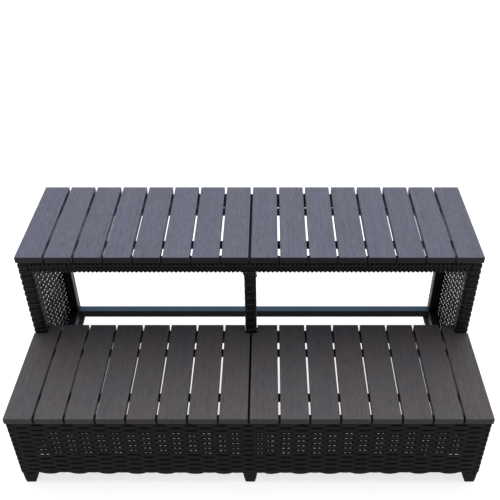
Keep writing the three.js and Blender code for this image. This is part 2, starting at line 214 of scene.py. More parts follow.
# ---------------------------------------------------------------- camera, floor and light

def add_camera():
    low, _ = cad_bounds
    data = bpy.data.cameras.new("camera")
    data.lens = CAMERA_LENS_MM
    data.sensor_width = CAMERA_SENSOR_MM
    data.shift_x, data.shift_y = CAMERA_SHIFT
    camera = bpy.data.objects.new("camera", data)
    x, y, z = CAMERA_FROM_FRONT_EDGE
    camera.location = (x, low.y + y, low.z + z)
    camera.rotation_euler = (math.radians(90 - CAMERA_DOWN_DEG), 0, 0)
    bpy.context.scene.collection.objects.link(camera)
    bpy.context.scene.camera = camera


def add_light():
    """A wide, soft overhead light: a sun whose disc is large enough to leave no hard shadow."""
    data = bpy.data.lights.new("overhead", "SUN")
    data.energy = LIGHT_STRENGTH
    data.angle = math.radians(LIGHT_DISC_DEG)
    light = bpy.data.objects.new("overhead", data)
    light.rotation_euler = [math.radians(degrees) for degrees in LIGHT_TILT_DEG]
    bpy.context.scene.collection.objects.link(light)


def set_world():
    world = bpy.data.worlds.new("studio")
    world.use_nodes = True
    background = world.node_tree.nodes["Background"]
    background.inputs["Color"].default_value = WORLD_COLOUR
    background.inputs["Strength"].default_value = WORLD_STRENGTH
    bpy.context.scene.world = world


def add_floor():
    mesh = bpy.data.meshes.new("floor")
    size = FLOOR_HALF_SIZE
    corners = [(-size, -size, 0), (size, -size, 0), (size, size, 0), (-size, size, 0)]
    mesh.from_pydata(corners, [], [(0, 1, 2, 3)])
    mesh.materials.append(floor_finish())
    floor = bpy.data.objects.new("floor", mesh)
    bpy.context.scene.collection.objects.link(floor)


# ---------------------------------------------------------------- materials

class Finish:
    """A material with one Principled shader, and short ways to add and link its nodes."""

    def __init__(self, name, **constants):
        self.material = bpy.data.materials.new(name)
        self.material.use_nodes = True
        self.tree = self.material.node_tree
        self.shader = self.tree.nodes["Principled BSDF"]
        self.set(**{socket.replace("_", " "): value for socket, value in constants.items()})

    def set(self, **values):
        for socket, value in values.items():
            self._feed(self.shader.inputs[socket], value)

    def _feed(self, socket, value):
        if isinstance(value, bpy.types.NodeSocket):
            self.tree.links.new(value, socket)
        else:
            socket.default_value = value

    def node(self, kind, output, inputs, **settings):
        """Adds a node, feeds its inputs by name or number, and gives one of its outputs."""
        node = self.tree.nodes.new("ShaderNode" + kind)
        for name, value in settings.items():
            setattr(node, name, value)
        for socket, value in inputs.items():
            self._feed(node.inputs[socket], value)
        return node.outputs[output]

    def coordinates(self, scale, shift=(0, 0, 0)):
        place = self.node("TexCoord", "Object", {})
        return self.scaled(place, scale, shift)

    def scaled(self, vector, scale, shift=(0, 0, 0)):
        return self.node("Mapping", "Vector", {"Vector": vector, "Scale": scale, "Location": shift})

    def noise(self, vector, detail=2.0, roughness=0.5, scale=1.0):
        inputs = {"Vector": vector, "Scale": scale, "Detail": detail, "Roughness": roughness}
        return self.node("TexNoise", "Fac", inputs)

    def math(self, operation, a, b=0.0):
        return self.node("Math", "Value", {0: a, 1: b}, operation=operation)

    def axis(self, vector, axis):
        return self.node("SeparateXYZ", axis, {"Vector": vector})

    def facing(self, axis):
        """How far the surface faces along an axis: 1 square on, 0 edge on."""
        return self.math("ABSOLUTE", self.axis(self.node("TexCoord", "Normal", {}), axis))

    def remap(self, value, from_low, from_high, to_low, to_high):
        inputs = {
            "Value": value,
            "From Min": from_low,
            "From Max": from_high,
            "To Min": to_low,
            "To Max": to_high,
        }
        return self.node("MapRange", "Result", inputs)

    def mix(self, share, a, b, blend="MIX"):
        """Mixes two colours. The sockets go by number, as this node has several of each name."""
        factor, colour_a, colour_b, result = 0, 6, 7, 2
        inputs = {factor: share, colour_a: a, colour_b: b}
        return self.node("Mix", result, inputs, data_type="RGBA", blend_type=blend)

    def bump(self, height, distance, strength=1.0):
        inputs = {"Height": height, "Distance": distance, "Strength": strength}
        return self.node("Bump", "Normal", inputs)


def shade(colour, factor):
    return tuple(channel * factor for channel in colour) + (1,)


def slat_finish(name, node, colour, end_painted_shades, side_painted_shade, warmth):
    """Composite board: fine streaks along its length, mottling, warmer patches, long edges worn
    paler with a painted highlight, and ends and sides darkened by painted shade. Each board has its
    own shift of the grain and its own tone."""
    rng = random.Random(node)
    shift = (rng.uniform(0, 50), rng.uniform(0, 50), rng.uniform(0, 50))
    tint = [channel * rng.uniform(0.985, 1.015) for channel in colour]
    board = rng.uniform(0.96, 1.04)
    tint = [channel * board for channel in tint]
    finish = Finish(name)

    fine = finish.noise(finish.coordinates((380, 42, 300), shift), detail=3, roughness=0.65)
    broad = finish.noise(finish.coordinates((150, 2.2, 60), shift), detail=2)
    fine_share, broad_share = 0.72, 0.28
    streak = finish.math(
        "ADD",
        finish.math("MULTIPLY", fine, fine_share),
        finish.math("MULTIPLY", broad, broad_share),
    )
    streak_share = finish.remap(streak, 0.34, 0.66, 0, 1)
    face = finish.mix(streak_share, shade(tint, 0.80), shade(tint, 1.19))

    blotch = finish.noise(finish.coordinates((7, 5, 7)), detail=4, roughness=0.6)
    blotch_share = finish.remap(blotch, 0.35, 0.65, 0, 1)
    warm = (1 + warmth, 1, 1 - warmth, 1)
    cool = (1 - 0.4 * warmth, 1, 1 + 0.4 * warmth, 1)
    face = finish.mix(1.0, face, finish.mix(blotch_share, cool, warm), blend="MULTIPLY")
    mottle = finish.noise(finish.coordinates((48, 26, 48), shift), detail=3, roughness=0.6)
    mottle_share = finish.remap(mottle, 0.3, 0.7, 0, 1)
    mottling = finish.mix(mottle_share, shade((1, 1, 1), 0.93), shade((1, 1, 1), 1.07))
    face = finish.mix(1.0, face, mottling, blend="MULTIPLY")

    # The long edges paler: partly wear, partly a painted highlight.
    low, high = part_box(node)
    half = (high.x - low.x) / 2
    place = finish.axis(finish.coordinates((1, 1, 1)), "X")
    off_centre = finish.math("ABSOLUTE", finish.math("SUBTRACT", place, (low.x + high.x) / 2))
    edge = finish.remap(off_centre, half - 2.6 * MM, half - 0.4 * MM, 0, 1)
    wear_and_highlight = finish.math("MULTIPLY", edge, finish.remap(broad, 0.35, 0.65, 0.1, 0.5))
    face = finish.mix(wear_and_highlight, face, shade(tint, 1.5))

    # Painted shade: the sides and the ends darker than the top, by the way they face.
    side = finish.remap(finish.facing("X"), 0.8, 0.95, 0, 1)
    end = finish.remap(finish.facing("Y"), 0.6, 0.9, 0, 1)
    face = finish.mix(side, face, shade(tint, side_painted_shade))
    end_cloud = finish.noise(finish.coordinates((260, 1, 520), shift), detail=3)
    painted_end_shade = finish.mix(end_cloud, *(shade(tint, factor) for factor in end_painted_shades))
    finish.set(**{
        "Base Color": finish.mix(end, face, painted_end_shade),
        "Roughness": finish.remap(streak, 0.3, 0.7, 0.66, 0.48),
        "Specular IOR Level": finish.remap(end, 0, 1, 0.4, 0.24),
        "Normal": finish.bump(streak, 0.5 * MM, 0.55),
    })
    return finish.material


def strand_finish(name, gloss, edge_highlight_tone):
    """Flat extruded plastic strand: ribs along it, painted shade under its lower edge, a painted
    highlight in patches along its upper edge, and a little difference from strand to strand. The
    last argument is the tone of that painted highlight."""
    finish = Finish(name, Specular_IOR_Level=gloss)
    marks = finish.node("Attribute", "Vector", {}, attribute_name="strand")
    across, number = finish.axis(marks, "Y"), finish.axis(marks, "Z")
    ribs = finish.math("SINE", finish.math("MULTIPLY", across, 6.5 * math.pi))
    rub = finish.noise(finish.scaled(marks, (45, 1.6, 7.3)), detail=3, roughness=0.6)
    own = finish.node("TexWhiteNoise", "Value", {"W": number}, noise_dimensions="1D")
    tone = finish.math("ADD", finish.math("MULTIPLY", rub, 0.6), finish.math("MULTIPLY", own, 0.4))
    colour = finish.mix(tone, (0.0076, 0.0076, 0.0092, 1), (0.0172, 0.0172, 0.0190, 1))
    # Painted shade under the strand's lower edge.
    painted_crease_shade = finish.remap(across, -0.5, -0.95, 0, 0.9)
    colour = finish.mix(painted_crease_shade, colour, (0.0015, 0.0015, 0.002, 1))
    # Painted highlight along the strand's upper edge, in patches.
    edge = finish.remap(across, 0.78, 0.98, 0, 1)
    painted_edge_highlight = finish.math("MULTIPLY", edge, finish.remap(rub, 0.35, 0.65, 0.15, 0.6))
    height = finish.math("ADD", finish.math("MULTIPLY", ribs, 0.5), rub)
    finish.set(**{
        "Base Color": finish.mix(painted_edge_highlight, colour, (edge_highlight_tone, edge_highlight_tone, edge_highlight_tone, 1)),
        "Roughness": finish.remap(rub, 0.3, 0.7, 0.42, 0.58),
        "Normal": finish.bump(height, 0.12 * MM, 0.6),
    })
    return finish.material


def frame_finish(name, painted_shade_factor=1.0, top_sky_light=0.0, side_sky_light=0.0):
    """Powder coat: fine orange peel, an uneven tone, painted sky light that turns it paler blue by
    a share on top and on the faces across X, painted shade that darkens it all by a factor, and
    dusty near the floor."""
    finish = Finish(name)
    peel = finish.noise(finish.coordinates((900, 900, 900)), detail=1)
    cloud = finish.noise(finish.coordinates((11, 11, 11)), detail=3)
    height = finish.axis(finish.coordinates((1, 1, 1)), "Z")
    upward = finish.axis(finish.node("TexCoord", "Normal", {}), "Z")
    # Painted sky light: the tops, and by a share the faces across X, turn paler blue by the way
    # they face, less so near the floor.
    up = finish.remap(upward, 0.3, 0.9, 0, top_sky_light)
    side_sky_share = finish.remap(height, 60 * MM, 90 * MM, 0.3 * side_sky_light, side_sky_light)
    sky_light_share = finish.math("MAXIMUM", up, finish.math("MULTIPLY", finish.facing("X"), side_sky_share))
    # The pale tones are painted sky light over the deep tones, and the shade factor darkens both as
    # painted shade.
    deep_tones = ((0.0045, 0.0048, 0.006), (0.0072, 0.0078, 0.0095))
    painted_sky_tones = ((0.036, 0.070, 0.118), (0.052, 0.092, 0.148))
    deep = finish.mix(cloud, *(shade(tone, painted_shade_factor) for tone in deep_tones))
    painted_sky_light = finish.mix(cloud, *(shade(tone, painted_shade_factor) for tone in painted_sky_tones))
    colour = finish.mix(sky_light_share, deep, painted_sky_light)
    dust = finish.math("MULTIPLY", finish.remap(height, 0.0, 60 * MM, 0.3, 0.0), cloud)
    finish.set(**{
        "Base Color": finish.mix(dust, colour, (0.05, 0.048, 0.043, 1)),
        "Roughness": finish.remap(cloud, 0.3, 0.7, 0.38, 0.52),
        "Specular IOR Level": finish.remap(height, 60 * MM, 90 * MM, 0.07, 0.1),
        "Normal": finish.bump(peel, 0.05 * MM, 0.4),
    })
    return finish.material


def foot_finish():
    """Moulded foot plug: fine spark-eroded grain, worn paler where it meets the floor."""
    finish = Finish("moulded_foot", Specular_IOR_Level=0.1)
    grain = finish.noise(finish.coordinates((1400, 1400, 1400)), detail=1)
    scuff = finish.noise(finish.coordinates((160, 160, 160)), detail=4, roughness=0.7)
    height = finish.axis(finish.coordinates((1, 1, 1)), "Z")
    low_down = finish.remap(height, 0.0, 2.5 * MM, 1.0, 0.0)
    worn = finish.math("MULTIPLY", low_down, finish.remap(scuff, 0.4, 0.7, 0, 0.6))
    finish.set(**{
        "Base Color": finish.mix(worn, (0.010, 0.010, 0.011, 1), (0.07, 0.068, 0.065, 1)),
        "Roughness": finish.remap(scuff, 0.3, 0.7, 0.6, 0.85),
        "Normal": finish.bump(grain, 0.08 * MM, 0.5),
    })
    return finish.material


def screw_finish():
    """Zinc-plated screw: bright metal with faint clouding."""
    finish = Finish("zinc_screw", Metallic=1.0)
    cloud = finish.noise(finish.coordinates((500, 500, 500)), detail=3)
    finish.set(**{
        "Base Color": finish.mix(cloud, (0.36, 0.37, 0.38, 1), (0.58, 0.58, 0.57, 1)),
        "Roughness": finish.remap(cloud, 0.3, 0.7, 0.28, 0.5),
    })
    return finish.material


def floor_finish():
    """A white sweep that is lit from under as well, so that the shadows on it stay faint."""
    finish = Finish("pale_floor", Roughness=0.9, Specular_IOR_Level=0.1, Emission_Strength=0.72)
    cloud = finish.noise(finish.coordinates((0.6, 0.6, 0.6)), detail=2)
    finish.set(**{
        "Base Color": finish.mix(cloud, (0.56, 0.56, 0.56, 1), (0.59, 0.59, 0.59, 1)),
        "Emission Color": (1, 1, 1, 1),
    })
    return finish.material


# ---------------------------------------------------------------- strands

def strand_section():
    """The outline of a strand's section, one unit across and one thick. Its face is domed and
    its back is flatter."""
    angles = np.arange(SECTION_SIDES) * 2 * math.pi / SECTION_SIDES
    across = np.sign(np.cos(angles)) * np.abs(np.cos(angles)) ** 0.5 / 2
    rise = np.sign(np.sin(angles)) * np.abs(np.sin(angles)) ** 0.7
    out = np.where(rise > 0, 0.6 * rise, 0.4 * rise)
    return across, out


def unit(vectors):
    return vectors / np.linalg.norm(vectors, axis=-1, keepdims=True)


def smooth_step(value):
    value = np.clip(value, 0, 1)
    return value * value * (3 - 2 * value)


def distances(points):
    """How far along its line each point is."""
    return np.r_[0, np.cumsum(np.linalg.norm(np.diff(points, axis=0), axis=1))]


class Strands:
    """Collects strands and makes one mesh object of them.

    Each point of the mesh carries a vector called strand: how far along the strand it is, how
    far across it from -1 to 1, and the strand's number. The finish reads its ribs from that.
    """

    section_across, section_out = strand_section()

    def __init__(self):
        self.points = []
        self.marks = []
        self.sides = []
        self.caps = []
        self.total = 0

    def add(self, centres, outward, across, width=STRAND_WIDTH, thickness=STRAND_THICKNESS):
        """A strand along centres, with the direction out of its face and across it at each."""
        count, around = len(centres), len(self.section_across)
        ring = (
            centres[:, None]
            + across[:, None] * self.section_across[None, :, None] * width
            + outward[:, None] * self.section_out[None, :, None] * thickness
        )
        marks = np.zeros((count, around, 3))
        marks[..., 0] = distances(centres)[:, None]
        marks[..., 1] = self.section_across[None, :] * 2
        marks[..., 2] = len(self.caps)
        here = np.arange(count * around).reshape(count, around) + self.total
        after = np.roll(here, -1, axis=1)
        sides = np.stack([here[:-1], after[:-1], after[1:], here[1:]], axis=-1).reshape(-1, 4)
        caps = [here[0][::-1], here[-1]]
        forward = centres[1] - centres[0]
        if np.dot(np.cross(across[0], outward[0]), forward) < 0:
            sides = sides[:, ::-1]
            caps = [cap[::-1] for cap in caps]
        self.points.append(ring.reshape(-1, 3))
        self.marks.append(marks.reshape(-1, 3))
        self.sides.append(sides)
        self.caps.extend(caps)
        self.total += count * around

    def make(self, name, finish, replaced):
        """Makes the object, in the place of a CAD node."""
        points = np.concatenate(self.points)
        sides = np.concatenate(self.sides)
        mesh = bpy.data.meshes.new(name)
        mesh.from_pydata(points.tolist(), [], sides.tolist() + [cap.tolist() for cap in self.caps])
        smooth = [True] * len(sides) + [False] * len(self.caps)
        mesh.polygons.foreach_set("use_smooth", smooth)
        marks = mesh.attributes.new("strand", "FLOAT_VECTOR", "POINT")
        marks.data.foreach_set("vector", np.concatenate(self.marks).astype(np.float32).ravel())
        mesh.materials.append(finish)
        piece = bpy.data.objects.new(name, mesh)
        bpy.context.scene.collection.objects.link(piece)
        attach(piece, "root")
        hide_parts(replaced)


def rounded_line(corners, radius):
    """Points along straights joined by round right-angled corners. Gives the points, and for each
    corner the numbers of its arc's two ends."""
    corners = [np.array(corner, float) for corner in corners]
    points = [corners[0]]
    arcs = []

    def straight_to(end):
        length = np.linalg.norm(end - points[-1])
        pieces = max(1, math.ceil(length / SAMPLE_STEP))
        start = points[-1]
        points.extend(start + (end - start) * i / pieces for i in range(1, pieces + 1))

    for before, corner, after in zip(corners, corners[1:], corners[2:]):
        into, out = unit(corner - before), unit(after - corner)
        centre = corner - into * radius + out * radius
        straight_to(corner - into * radius)
        first = len(points) - 1
        for turn in np.linspace(0, math.pi / 2, ARC_SAMPLES)[1:]:
            points.append(centre - out * radius * math.cos(turn) + into * radius * math.sin(turn))
        arcs.append((first, len(points) - 1))
    straight_to(corners[-1])
    return np.array(points), arcs


def right_of(points):
    """The direction to the right of the line of travel, at each point of a flat line."""
    forward = unit(np.gradient(points, axis=0))
    return np.stack([forward[:, 1], -forward[:, 0]], axis=1)


# ---------------------------------------------------------------- weave

class Places:
    """The planes that the strands follow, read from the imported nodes."""

    leg_low, leg_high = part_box("left_front_foot_cap")
    centre_post_low, centre_post_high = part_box("centre_post")
    front_weave_low, front_weave_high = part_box("front_weave")
    lower_frame_low, lower_frame_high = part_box("lower_tread_frame")
    upper_frame_low, upper_frame_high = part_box("upper_tread_frame")
    rear_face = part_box("left_rear_foot_cap")[1].y
    side_weave_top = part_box("left_side_weave")[1].z
    tube = leg_high.x - leg_low.x


class WeavePlan:
    """The rows' lines seen from above, and where the stakes stand along them.

    Both lines start at the back of the left rear post. The lower one runs round the front to the
    right rear post, and the upper one turns in at the left middle post. A place is a distance
    along a line, counted from the centre leg and negative to the left of it.
    """

    def __init__(self):
        outer = Places.leg_low.x - WEAVE_OFFSET
        inner = Places.leg_high.x + WEAVE_OFFSET
        rear = Places.rear_face + WEAVE_OFFSET
        tucked = Places.leg_high.x - REAR_END_GAP
        front = Places.leg_low.y - WEAVE_OFFSET
        step_front = Places.centre_post_low.y - WEAVE_OFFSET
        step_back = Places.centre_post_high.y - POST_END_GAP
        left = [(tucked, rear), (outer, rear), (outer, front)]
        right = [(-x, y) for x, y in reversed(left)]
        upper = [*left[:2], (outer, step_front), (inner, step_front), (inner, step_back)]
        self.lower, self.lower_arcs = rounded_line(left + right, PLAN_RADIUS)
        self.upper, self.upper_arcs = rounded_line(upper, PLAN_RADIUS)
        self.reach = distances(self.lower)[-1] / 2
        self.lower_places = distances(self.lower) - self.reach
        self.upper_places = distances(self.upper) - self.reach
        self.lower_corners = [self.lower_places[list(arc)].mean() for arc in self.lower_arcs]
        self.upper_corners = [self.upper_places[list(arc)].mean() for arc in self.upper_arcs[:2]]
        left_stakes, right_stakes = self.stakes(LEFT_STAKES), self.stakes(RIGHT_STAKES)
        self.stake_numbers = np.arange(-len(left_stakes), len(right_stakes) + 1)
        self.stake_places = np.array([-x for x in reversed(left_stakes)] + [0.0] + right_stakes)

    def stakes(self, spacing):
        """How far from the centre leg the stakes on one side of it stand, the nearest first."""
        places = [spacing["first"], spacing["second"]]
        while len(places) < STAKES_BEFORE_CORNER:
            places.append(places[-1] + spacing["narrow" if len(places) % 2 else "wide"])
        while places[-1] < self.reach:
            places.append(places[-1] + spacing["side"])
        return places

    def waves(self, places, row):
        """Runs from 1 at a stake that the row passes in front of, to -1 at one it passes behind."""
        turn = 1 if row % 2 else -1
        return turn * np.cos(math.pi * np.interp(places, self.stake_places, self.stake_numbers))

    def row(self, line, places, corners, height, row, rng, sag=WEAVE_SAG, stays_held=False):
        """A woven row's centres, outward directions and across directions.

        corners gives each corner's place and how far from it the row begins to swing. A row
        that stays held lies flat on the post from the last corner on.
        """
        waves = self.waves(places, row)
        free = np.ones(len(line))
        held = np.zeros(len(line))
        for corner, calm in corners:
            away = np.abs(places - corner)
            if stays_held and corner == corners[-1][0]:
                away = np.where(np.abs(places) < abs(corner), 0, away)
            side = math.copysign(1, self.waves(corner, row))
            beyond = away / calm - CALM_SHARE
            free = np.minimum(free, smooth_step(beyond / (1 - CALM_SHARE)))
            held += side * smooth_step(1 - away / HELD_REACH)
        bow = np.sign(waves) * np.abs(waves) ** FLAT_TOP_POWER
        swing = free * bow * WEAVE_SWING + held * HELD_SWING
        drop = free * (1 + waves) / 2 * sag
        phase = rng.uniform(0, 2 * math.pi)
        uneven = UNEVEN_RISE * np.sin(2 * math.pi * places / UNEVEN_LENGTH + phase)
        plan = line + right_of(line) * swing[:, None]
        centres = np.column_stack([plan, height - drop + uneven])
        outward = np.column_stack([right_of(plan), np.zeros(len(plan))])
        return centres, outward, np.tile(UP, (len(line), 1))


def add_lower_rows(plan, strands, rng):
    """The rows that run round the front and both sides, under the lower tread."""
    underside = Places.front_weave_low.z
    corners = [(corner, CORNER_CALM) for corner in plan.lower_corners]
    front_corner = plan.lower_corners[2]
    toward_corner = np.clip(np.abs(plan.lower_places) / front_corner, 0, 1) ** CORNER_RISE_POWER
    arcs = plan.lower_arcs
    spans = {
        "left_rear_post": (0, arcs[0][1]),
        "left_side": (arcs[0][1], arcs[1][0]),
        "front": (arcs[1][0], arcs[2][1]),
        "right_side": (arcs[2][1], arcs[3][0]),
        "right_rear_post": (arcs[3][0], len(plan.lower) - 1),
    }
    for row in range(KEY_ROWS[0], LAST_LOWER_ROW + 1):
        at_centre = np.interp(row, KEY_ROWS, CENTRE_HEIGHTS)
        at_corner = np.interp(row, KEY_ROWS, CORNER_HEIGHTS)
        height = underside + at_centre + (at_corner - at_centre) * toward_corner
        width = LOWER_STRAND_WIDTH if row > 0 else BORDER_WIDTH
        sag = TIGHT_SAG if row <= LAST_TIGHT_ROW else WEAVE_SAG
        if row == KEY_ROWS[0]:
            sag = BORDER_SAG
        shape = plan.row(plan.lower, plan.lower_places, corners, height, row, rng, sag)
        for name, (first, last) in spans.items():
            strands[name].add(*(part[first:last + 1] for part in shape), width)


def add_upper_rows(plan, strands, rng):
    """The rows that run along each side above the lower tread, from post to post."""
    bottom = Places.front_weave_low.z + CORNER_HEIGHTS[-1] + ROW_PITCH / 2
    top = Places.side_weave_top
    rails = Places.upper_frame_low.z - STRAND_WIDTH / 2
    count = round((top - bottom) / ROW_PITCH)
    arcs = plan.upper_arcs
    for row in range(count):
        height = bottom + (row + 0.5) * (top - bottom) / count
        end = arcs[2][0] if height > rails else len(plan.upper) - 1
        spans = {
            "rear_post": (0, arcs[0][1]),
            "side": (arcs[0][1], arcs[1][0]),
            "post": (arcs[1][0], end),
        }
        number = LAST_LOWER_ROW + 1 + row
        for side, mirror in (("left", 1), ("right", -1)):
            places = plan.upper_places * mirror
            corners = list(zip(np.multiply(plan.upper_corners, mirror), (CORNER_CALM, POST_CALM)))
            shape = plan.row(plan.upper, places, corners, height, number, rng, stays_held=True)
            for name, (first, last) in spans.items():
                parts = [part[first:last + 1] for part in shape]
                centres, outward, across = (part * (mirror, 1, 1) for part in parts)
                strands[f"{side}_{name}"].add(centres, outward, across)


def add_stakes(plan, strands):
    """The upright stakes that the rows pass in front of and behind."""
    bottom = Places.front_weave_low.z + BORDER_SAG
    line, directions = plan.lower, right_of(plan.lower)
    rear_left, front_left, front_right, rear_right = plan.lower_corners

    def at(place, values):
        return np.array([np.interp(place, plan.lower_places, column) for column in values.T])

    for place in plan.stake_places:
        if place == 0 or not rear_left + CORNER_CALM / 2 < place < rear_right - CORNER_CALM / 2:
            continue
        x, y = at(place, line)
        out = unit(at(place, directions))
        high = y > Places.centre_post_high.y
        top = Places.side_weave_top if high else Places.front_weave_high.z
        count = round((top - bottom) / (ROWS_PER_STAKE_SPAN * ROW_PITCH))
        levels = np.linspace(bottom, top - STAKE_TOP_GAP, count)
        centres = np.column_stack([np.full(len(levels), x), np.full(len(levels), y), levels])
        outward = np.tile([*out, 0.0], (len(levels), 1))
        across = np.tile([-out[1], out[0], 0.0], (len(levels), 1))
        if place < front_left:
            name = "left_side"
        elif place < front_right:
            name = "front"
        else:
            name = "right_side"
        strands[name].add(centres, outward, across, STAKE_WIDTH, STAKE_THICKNESS)


# ---------------------------------------------------------------- windings

def square_turn(angle):
    """A point on a square with well-rounded corners, whose sides lie one unit out."""
    cosine, sine = np.cos(angle), np.sin(angle)
    x = np.sign(cosine) * np.abs(cosine) ** SQUARENESS
    y = np.sign(sine) * np.abs(sine) ** SQUARENESS
    return x, y


def swelling(from_end, swell):
    """How much thicker a post's winding is, at a distance from its end."""
    size, start, growth = swell
    return size * smooth_step((start - from_end) / growth)


def add_coil(strands, centres, width):
    """A strand wound round something upright, with its face outwards."""
    forward = unit(np.gradient(centres, axis=0))
    outward = unit(np.cross(forward, UP))
    strands.add(centres, outward, np.cross(outward, forward), width, WINDING_THICKNESS)


def add_post_winding(strands, centre, low, high, half):
    """One long strand wound up a square post, level at both ends. Every second turn rides over
    its neighbours."""
    rise = high - low - WINDING_WIDTH
    turns = rise / WINDING_PITCH + 1
    turn = np.linspace(0, turns, math.ceil(turns * TURN_SAMPLES))
    climb = np.clip((turn - 0.5) / (turns - 1), 0, 1)
    z = low + WINDING_WIDTH / 2 + climb * rise
    ride = WINDING_RIDE * np.cos(math.pi * turn)
    reach = half + ride + swelling(high - z, TOP_SWELL) + swelling(z - low, BOTTOM_SWELL)
    x, y = square_turn(turn * 2 * math.pi - math.pi / 2)
    centres = np.column_stack([centre.x + x * reach, centre.y + y * reach, z])
    add_coil(strands, centres, WINDING_WIDTH)


def add_cross_strand(strands, centre, high, half):
    """The winding's end, brought down across the front of the post over its top turns."""
    first, last = np.radians(CROSS_TURN_DEG)
    angle = np.linspace(first, last, CROSS_SAMPLES)
    reach = half + CROSS_RIDE
    x, y = square_turn(angle)
    start_drop, end_drop = CROSS_DROP
    fall = (end_drop - start_drop) * smooth_step(np.linspace(0, 1, CROSS_SAMPLES))
    z = high - start_drop - fall
    centres = np.column_stack([centre.x + x * reach, centre.y + y * reach, z])
    add_coil(strands, centres, CROSS_WIDTH)


def add_leg_winding(strands, wrap, foot):
    """A few turns round a leg below the weave, as wide at their top as the wrap node in their
    place, and tight at the foot."""
    low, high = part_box(wrap)
    leg_low, leg_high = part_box(foot)
    middle = (leg_low + leg_high) / 2
    inset = WINDING_THICKNESS / 2
    left, right = middle.x - low.x - inset, high.x - middle.x - inset
    front, back = middle.y - low.y - inset, high.y - middle.y - inset
    tight = Places.tube / 2 + LEG_WINDING_RIDE
    rise = Places.front_weave_low.z - low.z - LEG_WINDING_WIDTH
    turns = rise / LEG_WINDING_PITCH + 1
    turn = np.linspace(0, turns, math.ceil(turns * TURN_SAMPLES))
    climb = np.clip((turn - 0.5) / (turns - 1), 0, 1)
    spread = climb ** LEG_FLARE_POWER
    x, y = square_turn(turn * 2 * math.pi)
    wide_x = tight + (np.where(x < 0, left, right) - tight) * spread
    wide_y = tight + (np.where(y < 0, front, back) - tight) * spread
    z = low.z + LEG_WINDING_WIDTH / 2 + climb * rise
    centres = np.column_stack([middle.x + x * wide_x, middle.y + y * wide_y, z])
    add_coil(strands, centres, LEG_WINDING_WIDTH)


def add_rail_winding(strands, rail_low, rail_high, wrap, tuck, post_half, kept_at_post):
    """Strand wound along a rail: down its front, under it and up its back, once for each turn.

    Every second turn starts lower on the front, by tuck. Within post_half of the middle a post or
    a bearer meets the rail, and only the front or the rest of each turn is kept there.
    """
    reach = wrap - WINDING_THICKNESS / 2 - RAIL_RIDE
    front, back = rail_low.y - reach, rail_high.y + reach
    top, bottom = rail_high.z - RAIL_TOP_GAP, rail_low.z - reach - RAIL_WINDING_SLACK
    count = round((rail_high.x - rail_low.x) / RAIL_WINDING_PITCH)
    pitch = (rail_high.x - rail_low.x) / count
    lines = []
    for start in (top, top - tuck):
        corners = [(front, start), (front, bottom), (back, bottom), (back, top)]
        lines.append(rounded_line(corners, RAIL_WINDING_RADIUS))
    for turn in range(count):
        line, arcs = lines[turn % 2]
        lean = np.linspace(-RAIL_WINDING_LEAN, RAIL_WINDING_LEAN, len(line)) * pitch
        x = rail_low.x + (turn + 0.5) * pitch
        flat = line + right_of(line) * (-RAIL_RIDE if turn % 2 else RAIL_RIDE)
        front_corner_end = arcs[0][1]
        first, last = 0, len(line)
        if abs(x) < post_half and kept_at_post == "front":
            last = front_corner_end + 1
        elif abs(x) < post_half:
            first = front_corner_end
        centres = np.column_stack([x + lean, flat])[first:last]
        side = right_of(flat)[first:last]
        outward = np.column_stack([np.zeros(len(side)), side])
        across = np.tile([1.0, 0.0, 0.0], (len(side), 1))
        strands.add(centres, outward, across, RAIL_WINDING_WIDTHS[turn % 2], WINDING_THICKNESS)


def add_binder(strands, rail_low, rail_high, wrap):
    """The strand that runs along the front of the upper rail, over its winding."""
    x = np.linspace(rail_low.x + BINDER_END_GAP, rail_high.x - BINDER_END_GAP, BINDER_SAMPLES)
    beat = BINDER_BEAT * np.sin(math.pi * (x - rail_low.x) / WINDING_PITCH)
    wander = BINDER_WANDER * np.sin(2 * math.pi * x / BINDER_WANDER_LENGTH)
    y = rail_low.y - wrap - BINDER_RIDE - beat
    centres = np.column_stack([x, y, rail_high.z - BINDER_DROP + wander])
    outward = np.tile([0.0, -1.0, 0.0], (len(x), 1))
    across = np.tile(UP, (len(x), 1))
    strands.add(centres, outward, across, BINDER_WIDTH, WINDING_THICKNESS)


# ---------------------------------------------------------------- screws

def screw_rows():
    """The rows of screws that hold the slats: each row's tread, its Y, and the height of the
    face that the heads lie under."""
    rows = []
    for tread, setbacks in SUPPORT_SETBACKS.items():
        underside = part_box(f"{tread}_tread_frame")[1].z - SUPPORT_BAR
        rows.extend((tread, cad_bounds[0].y + setback, underside) for setback in setbacks)
    leg_y = (Places.leg_low.y + Places.leg_high.y) / 2
    post_y = (Places.centre_post_low.y + Places.centre_post_high.y) / 2
    rows.append(("lower", leg_y, Places.lower_frame_low.z))
    rows.append(("lower", post_y, Places.lower_frame_high.z - Places.tube))
    return rows


def add_screws(finish):
    """Button-head screws from below, four to a lower slat and two to an upper one, on one mesh."""
    last_x = Places.upper_frame_high.x - SCREW_EDGE
    points, faces = [], []
    for tread, y, z in screw_rows():
        for entry in frame["record"]["subparts"]:
            if not entry["node"].startswith(f"{tread}_slat_"):
                continue
            low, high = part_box(entry["node"])
            x = min(max((low.x + high.x) / 2, -last_x), last_x)
            start = len(points)
            for radius, drop in SCREW_PROFILE_MM:
                for step in range(SCREW_SIDES):
                    turn = 2 * math.pi * step / SCREW_SIDES
                    points.append((
                        x + radius * MM * math.cos(turn),
                        y + radius * MM * math.sin(turn),
                        z - drop * MM,
                    ))
            faces.extend(screw_faces(start))
    mesh = bpy.data.meshes.new("slat_screws")
    mesh.from_pydata(points, [], faces)
    mesh.materials.append(finish)
    piece = bpy.data.objects.new("slat_screws", mesh)
    bpy.context.scene.collection.objects.link(piece)
    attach(piece, "root")


